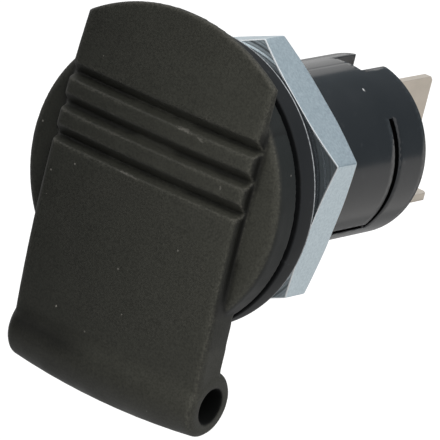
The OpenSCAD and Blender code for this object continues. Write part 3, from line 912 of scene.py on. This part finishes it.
def addTube(bm, s, c):
    half = c["tongueGap"] / 2
    wide = math.degrees(half / s["tubeR"])
    keyWide, keyWideIn = [math.degrees(math.asin(c["keyHalf"] / s[r])) for r in ("tubeR", "tubeInnerR")]
    low, high = c["tongueLow"], c["tongueHigh"]
    front, rear = c["tongueY"] - half, c["tongueY"] + half
    marks = [90 - keyWide, 90 + keyWide] + [a + k * c["seamHalf"] for a in (90, 270) for k in (-1, 0, 1)]
    for turn in (0, 180):
        marks += [(a + turn) % 360 for a in (low - wide, low + wide, high)]
    angles = gridLines(0.0, 360.0, c["angleStep"], marks)[:-1]
    # room beside the key slot for its rounded corners
    angles = [a for a in angles if not keyWide + c["sameAngle"] < abs(a - 90) < keyWide + c["hornRoom"]]
    ys = gridLines(s["joinY"], s["rearY"], c["rowStep"], [c["keyFront"], c["tongueRoot"], front, rear])

    def isOpen(a, y):
        if abs(a - 90) < keyWide and y > c["keyFront"]:
            return True
        t = (a + 90) % 180 - 90
        across = low - wide < t < high and front < y < rear
        along = abs(t - low) < wide and c["tongueRoot"] < y < rear
        return across or along

    def innerAngle(a):
        for side in (-1, 1):
            if abs(a - (90 + side * keyWide)) < c["sameAngle"]:
                return 90 + side * keyWideIn
        return a

    count = len(angles)
    verts = {}

    def vert(i, j, inner):
        key = (i % count, j, inner)
        if key not in verts:
            a = angles[i % count]
            onSeam = min(abs(a - 90), abs(a - 270)) < c["sameAngle"]
            if inner:
                verts[key] = turnedVert(bm, s["tubeInnerR"], innerAngle(a), ys[j])
            else:
                verts[key] = turnedVert(bm, s["tubeR"] - c["seamDepth"] * onSeam, a, ys[j])
        return verts[key]

    kept = set()
    for i in range(count):
        after = angles[i + 1] if i + 1 < count else 360.0
        for j in range(len(ys) - 1):
            if not isOpen((angles[i] + after) / 2, (ys[j] + ys[j + 1]) / 2):
                kept.add((i, j))
    for i, j in kept:
        ring = [(i, j), (i + 1, j), (i + 1, j + 1), (i, j + 1)]
        bm.faces.new([vert(a, b, False) for a, b in ring])
        bm.faces.new([vert(a, b, True) for a, b in ring[::-1]])
        sides = [((i, j - 1), ring[0], ring[1]), (((i + 1) % count, j), ring[1], ring[2]),
                 ((i, j + 1), ring[2], ring[3]), (((i - 1) % count, j), ring[3], ring[0])]
        for other, p, q in sides:
            if other not in kept:
                bm.faces.new((vert(*q, False), vert(*p, False), vert(*p, True), vert(*q, True)))

    def atHorn(p):
        atSide = p.z > 0 and abs(abs(p.x) - c["keyHalf"]) < c["hornNear"]
        return atSide and abs(p.y - s["rearY"]) < c["hornNear"]

    # rounds the two corners where the key slot meets the rear end
    horns = [e for e in bm.edges if all(atHorn(v.co) for v in e.verts)]
    bmesh.ops.bevel(bm, geom=horns, offset=c["hornRound"], segments=c["hornSteps"], profile=0.5, affect="EDGES")


earShape = dict(
    ringR=2.7 * mm, arcStep=12.0, width=2.6 * mm, room=7.0 * mm, neckAngle=30.0, below=4.3 * mm, lead=1.45 * mm,
    neckRear=3.7 * mm, top=6.95 * mm, webFront=2.63 * mm, webT=1.1 * mm, webFoot=3.0 * mm,
)


def addEars(bm, s):
    frontAngle = math.degrees(math.acos(s["lead"] / s["ringR"]))
    ring = [polar(s["ringR"], a) for a in gridLines(frontAngle, 360 + s["neckAngle"], s["arcStep"], [])]
    outline = ring + [(s["neckRear"], s["below"]), (s["neckRear"], s["top"]), (s["lead"], s["top"])]
    outline = [(y + hingeY, z + hingeZ) for y, z in outline]
    for side in (-1, 1):
        mid = side * (s["room"] + s["width"]) / 2
        extrudeX(bm, outline, mid - s["width"] / 2, mid + s["width"] / 2)
    front, rear = s["webFront"], s["webFront"] + s["webT"]
    web = [(front, s["webFoot"]), (rear, s["webFoot"]), (rear, s["top"]), (front, s["top"])]
    extrudeX(bm, [(y + hingeY, z + hingeZ) for y, z in web], -s["room"] / 2, s["room"] / 2)


def onSlotWall(face, s, c):
    # side walls of the tongues' slots, which get painted shade
    place = face.center
    inSlots = s["shoulderY"] < place.y < c["tongueY"] + c["tongueGap"]
    beside = abs(place.x) > c["keyHalf"] * c["wallFromKey"]
    outward = Vector((place.x, 0.0, place.z)).normalized()
    return inSlots and beside and abs(face.normal.dot(outward)) < c["wallLean"]


def makeHousing(s, c):
    bm = bmesh.new()
    addFront(bm, s)
    addTube(bm, s, c)
    addEars(bm, earShape)
    housing = asObject("socketHousing", bm)
    roundEdges(housing, c["edgeRound"])
    smoothByAngle(housing.data, s["smooth"])
    dress(housing, bodyPlastic, "socket", "housing_plastic", "socket_housing")
    housing.data.materials.append(flangePlastic)
    faces = housing.data.polygons
    for face in faces:
        face.material_index = int(face.center.y < flangeFinish["endY"])
    addFloat(housing.data, "slotWall", [float(onSlotWall(f, s, c)) for f in faces], "FACE")
    return housing


housing = makeHousing(housingShape, cutOuts)
print("housing faces:", len(housing.data.polygons))


# Nut: hexagon with cone bevels on both faces and a bevelled bore

nutShape = dict(
    flats=25.0 * mm, turn=22.0, front=3.65 * mm, thick=4.65 * mm, faceR=12.7 * mm, slope=20.0,
    boreR=10.05 * mm, boreBevel=0.55 * mm, step=2.0, edgeRound=0.11 * mm, cornerRound=0.25 * mm,
    ringGap=0.02 * mm, smooth=14, faceLean=0.85, edgeLean=0.2,
)


def makeNut(s):
    half, fillet = s["flats"] / 2, s["cornerRound"]
    filletAt = (half - fillet) / math.cos(rad(30))
    filletX, filletY = polar(fillet, 30)
    filletWide = math.degrees(math.atan2(filletY, filletAt + filletX))
    marks = [60 * corner + filletWide * j / 2 for corner in range(7) for j in range(-2, 3)]
    columns = gridLines(0.0, 360.0, s["step"], marks)[:-1]

    def hexR(deg):
        off = (deg + 30) % 60 - 30  # from the nearest corner
        if abs(off) > filletWide:
            return half / math.cos(rad(30 - abs(off)))
        along, across = polar(filletAt, off)
        return along + math.sqrt(max(0.0, fillet ** 2 - across ** 2))

    slope = math.tan(rad(s["slope"]))
    drop = lambda r: max(0.0, r - s["faceR"]) * slope
    bore, bevel, soft = s["boreR"], s["boreBevel"], s["edgeRound"]

    def halfSection(outer):
        # (radius, depth below the face) from the bore to the side
        inner, edge = (outer - soft, drop(outer - soft)), (outer, drop(outer) + soft)
        middle = ((inner[0] + 3 * outer) / 4, (inner[1] + 2 * drop(outer) + edge[1]) / 4)
        flatEnd = min(s["faceR"], inner[0] - s["ringGap"])
        return [(bore, bevel), (bore + bevel, 0.0), (flatEnd, 0.0), inner, middle, edge]

    bm = bmesh.new()
    rear = s["front"] + s["thick"]
    rings = []
    for deg in columns:
        section = halfSection(hexR(deg))
        loop = [(r, s["front"] + d) for r, d in section] + [(r, rear - d) for r, d in section[::-1]]
        rings.append([turnedVert(bm, r, s["turn"] + deg, y) for r, y in loop])
    for near, far in zip(rings, rings[1:] + rings[:1]):
        bridge(bm, near, far)
    nut = asObject("hexNut", bm)
    smoothByAngle(nut.data, s["smooth"])
    # brightEdge marks the rounded edges between faces, which get a painted highlight
    turned, bright = [], []
    for face in nut.data.polygons:
        lean = abs(face.normal.y)
        outside = math.hypot(face.center.x, face.center.z) > bore + bevel
        turned.append(float(lean > s["faceLean"]))
        bright.append(float(outside and s["edgeLean"] < lean < s["faceLean"]))
    addFloat(nut.data, "turnedFace", turned, "FACE")
    addFloat(nut.data, "brightEdge", bright, "FACE")
    return dress(nut, nutZinc, "nut", "nut_zinc", "hex_nut")


nut = makeNut(nutShape)
print("nut faces:", len(nut.data.polygons))


# Contacts and carrier keep the solids' shape, with broken edges

brokenEdges = dict(contact=0.08 * mm, carrier=0.1 * mm, smooth=30)


def softenNode(node, name, material, body, slot, kind):
    obj = asObject(name, mergedCopy(node))
    smoothByAngle(obj.data, brokenEdges["smooth"])  # before the bevel, which then keeps the flats' own normals
    roundEdges(obj, brokenEdges[kind])
    return dress(obj, material, body, slot, node)


softenNode("earth_contact", "earthContact", contactTin, "socket", "contact_metal", "contact")
softenNode("centre_contact", "centreContact", contactTin, "socket", "contact_metal", "contact")
softenNode("terminal_carrier", "terminalCarrier", carrierPlastic, "socket", "carrier_plastic", "carrier")
print("contacts and carrier ready")


# Seal ring inside the lid

sealShape = dict(inner=9.45 * mm, outer=12.45 * mm, fillet=0.35 * mm, steps=144, smooth=40)


def makeSeal(s):
    low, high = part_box("lid_seal")
    bm = bmesh.new()
    loop = [(s["inner"], low.y), (s["outer"], low.y), (s["outer"], high.y), (s["inner"], high.y)]
    latheY(bm, roundLoop(loop, s["fillet"]), s["steps"])
    seal = asObject("lidSeal", bm)
    smoothByAngle(seal.data, s["smooth"])
    return dress(seal, sealRubber, "lid", "seal_rubber", "lid_seal")


makeSeal(sealShape)


# Pin with bevelled ends

pinShape = dict(bevel=0.3 * mm, sides=64, smooth=30)


def makePin(s):
    low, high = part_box("hinge_pin")
    r, bevel = (high.z - low.z) / 2, s["bevel"]
    bm = bmesh.new()
    rings = []
    for x, ringR in ((low.x, r - bevel), (low.x + bevel, r), (high.x - bevel, r), (high.x, r - bevel)):
        circle = [polar(ringR, 360 * k / s["sides"]) for k in range(s["sides"])]
        rings.append([bm.verts.new((x, hingeY + y, hingeZ + z)) for y, z in circle])
    for near, far in zip(rings, rings[1:]):
        bridge(bm, near, far)
    bm.faces.new(rings[0])
    bm.faces.new(rings[-1])
    pin = asObject("hingePin", bm)
    smoothByAngle(pin.data, s["smooth"])
    return dress(pin, pinSteel, "socket", "pin_steel", "hinge_pin")


makePin(pinShape)
print("seal and pin ready")


# Camera at the photograph's angle

cameraSetup = dict(
    right=(0.79409, 0.55979, 0.23676), up=(-0.35538, 0.11161, 0.92804), back=(0.49308, -0.82108, 0.28757),
    aim=(0.0, 3.12 * mm, 0.0), distance=634.1 * mm, lens=539.3, sensor=36.0, shift=(0.0315, -0.1104),
    clip=(0.01, 20.0),
)


def makeCamera(s):
    data = bpy.data.cameras.new("photoCamera")
    data.lens = s["lens"]
    data.sensor_width = s["sensor"]
    data.shift_x, data.shift_y = s["shift"]
    data.clip_start, data.clip_end = s["clip"]
    camera = bpy.data.objects.new("photoCamera", data)
    bpy.context.scene.collection.objects.link(camera)
    turn = Matrix((s["right"], s["up"], s["back"])).transposed()
    place = Vector(s["aim"]) + Vector(s["back"]) * s["distance"]
    camera.matrix_world = Matrix.Translation(place) @ turn.to_4x4()
    bpy.context.scene.camera = camera


makeCamera(cameraSetup)


# Floor, white surround, grey cards and soft lamps

studio = dict(
    floorZ=-45.0 * mm, floorSize=6.0, floorColour=(0.42, 0.42, 0.42), floorRough=0.9, floorSpecular=0.1,
    floorGlow=0.74, farGlow=0.9, glowReach=(0.2, 0.7), surround=0.28,
    cards=[  # reach along X, Y and Z, and glow
        ("backFlag", (-0.45, 1.5), (1.0, 1.0), (-0.044, 0.8), (0.215, 0.25, 0.275)),
        ("sideFlag", (-1.4, -0.45), (1.0, 1.0), (-0.044, 0.8), (0.78, 0.78, 0.78)),
        ("frontFlag", (-1.4, 1.4), (-1.0, -1.0), (-0.04, 1.05), (0.06, 0.06, 0.06)),
        ("tableFront", (-1.4, 1.4), (-1.0, -0.03), (-0.044, -0.044), (0.1, 0.1, 0.1)),
        ("tableMiddle", (-1.4, 1.4), (-0.03, 0.03), (-0.044, -0.044), (0.58, 0.58, 0.58)),
        ("tableRight", (0.015, 1.4), (0.03, 0.99), (-0.044, -0.044), (0.66, 0.65, 0.64)),
        ("tableLeft", (-1.4, 0.015), (0.03, 0.99), (-0.044, -0.044), (0.36, 0.36, 0.36)),
    ],
    lamps=[  # place, size and power
        ("keyLamp", (0.32, -0.38, 0.34), 0.5, 5.5),
        ("topLamp", (-0.2, 0.15, 0.9), 0.8, 2.6),
    ],
)


def seenDirectly(tree):
    # 1 for the camera, and for what mirrors and glass show it
    path = tree.nodes.new("ShaderNodeLightPath")
    mirrored = mathNode(tree, "MAXIMUM", path.outputs["Is Glossy Ray"], path.outputs["Is Transmission Ray"])
    return mathNode(tree, "MAXIMUM", path.outputs["Is Camera Ray"], mirrored)


def makeFloor(s):
    bm = bmesh.new()
    half = s["floorSize"] / 2
    corners = ((-half, -half), (half, -half), (half, half), (-half, half))
    bm.faces.new([bm.verts.new((x, y, s["floorZ"])) for x, y in corners])
    floor = asObject("studioFloor", bm)
    if floor.data.polygons[0].normal.z < 0:
        floor.data.flip_normals()
    paper, tree, shader = newFinish("floorPaper")
    fill(tree, shader, {
        "Base Color": (*s["floorColour"], 1.0),
        "Roughness": s["floorRough"],
        "Specular IOR Level": s["floorSpecular"],
    })
    away = addNode(tree, "ShaderNodeVectorMath", {0: objectCoords(tree)}, operation="LENGTH").outputs["Value"]
    # far from the lamps the paper makes up for them
    level = spread(tree, away, *s["glowReach"], s["floorGlow"], s["farGlow"])
    glow = addNode(tree, "ShaderNodeEmission", {"Strength": times(tree, seenDirectly(tree), level)}).outputs[0]
    both = addNode(tree, "ShaderNodeAddShader", {0: shader.outputs[0], 1: glow}).outputs[0]
    below = tree.nodes.new("ShaderNodeNewGeometry").outputs["Backfacing"]
    clear = tree.nodes.new("ShaderNodeBsdfTransparent").outputs[0]  # so the floor hides nothing from below
    mixed = addNode(tree, "ShaderNodeMixShader", {0: below, 1: both, 2: clear}).outputs[0]
    fill(tree, tree.nodes["Material Output"], {"Surface": mixed})
    floor.data.materials.append(paper)


def makeSurround(weak):
    # plain white to the camera, a weaker fill to everything else
    world = bpy.data.worlds.new("whiteSurround")
    bpy.context.scene.world = world
    world.use_nodes = True
    tree = world.node_tree
    tree.nodes.clear()
    shaders = {0: seenDirectly(tree)}
    for i, strength in enumerate((weak, 1.0)):
        values = {"Strength": strength, "Color": (1.0, 1.0, 1.0, 1.0)}
        shaders[i + 1] = addNode(tree, "ShaderNodeBackground", values).outputs[0]
    mixed = addNode(tree, "ShaderNodeMixShader", shaders).outputs[0]
    addNode(tree, "ShaderNodeOutputWorld", {"Surface": mixed})


def addCard(name, xs, ys, zs, colour):
    # grey panel that only reflections see, as a flag beside a product table
    bm = bmesh.new()
    corners = [(xs[0], ys[0], zs[0]), (xs[1], ys[0], zs[0]), (xs[1], ys[1], zs[1]), (xs[0], ys[1], zs[1])]
    bm.faces.new([bm.verts.new(c) for c in corners])
    card = asObject(name, bm)
    grey = bpy.data.materials.new(name)
    grey.use_nodes = True
    tree = grey.node_tree
    tree.nodes.clear()
    glow = addNode(tree, "ShaderNodeEmission", {"Color": (*colour, 1.0)}).outputs[0]
    addNode(tree, "ShaderNodeOutputMaterial", {"Surface": glow})
    card.data.materials.append(grey)
    card.visible_camera = False
    card.visible_diffuse = False
    card.visible_shadow = False


def addLamp(name, place, size, power):
    lamp = bpy.data.lights.new(name, "AREA")
    lamp.shape = "DISK"
    lamp.size = size
    lamp.energy = power
    obj = bpy.data.objects.new(name, lamp)
    bpy.context.scene.collection.objects.link(obj)
    obj.visible_glossy = False  # in gloss the white surround and the cards stand for the lamps
    obj.location = place
    obj.rotation_euler = (-Vector(place)).to_track_quat("-Z", "Y").to_euler()


makeFloor(studio)
makeSurround(studio["surround"])
for card in studio["cards"]:
    addCard(*card)
for lamp in studio["lamps"]:
    addLamp(*lamp)
bpy.context.scene.view_settings.view_transform = "Standard"
print("studio ready")
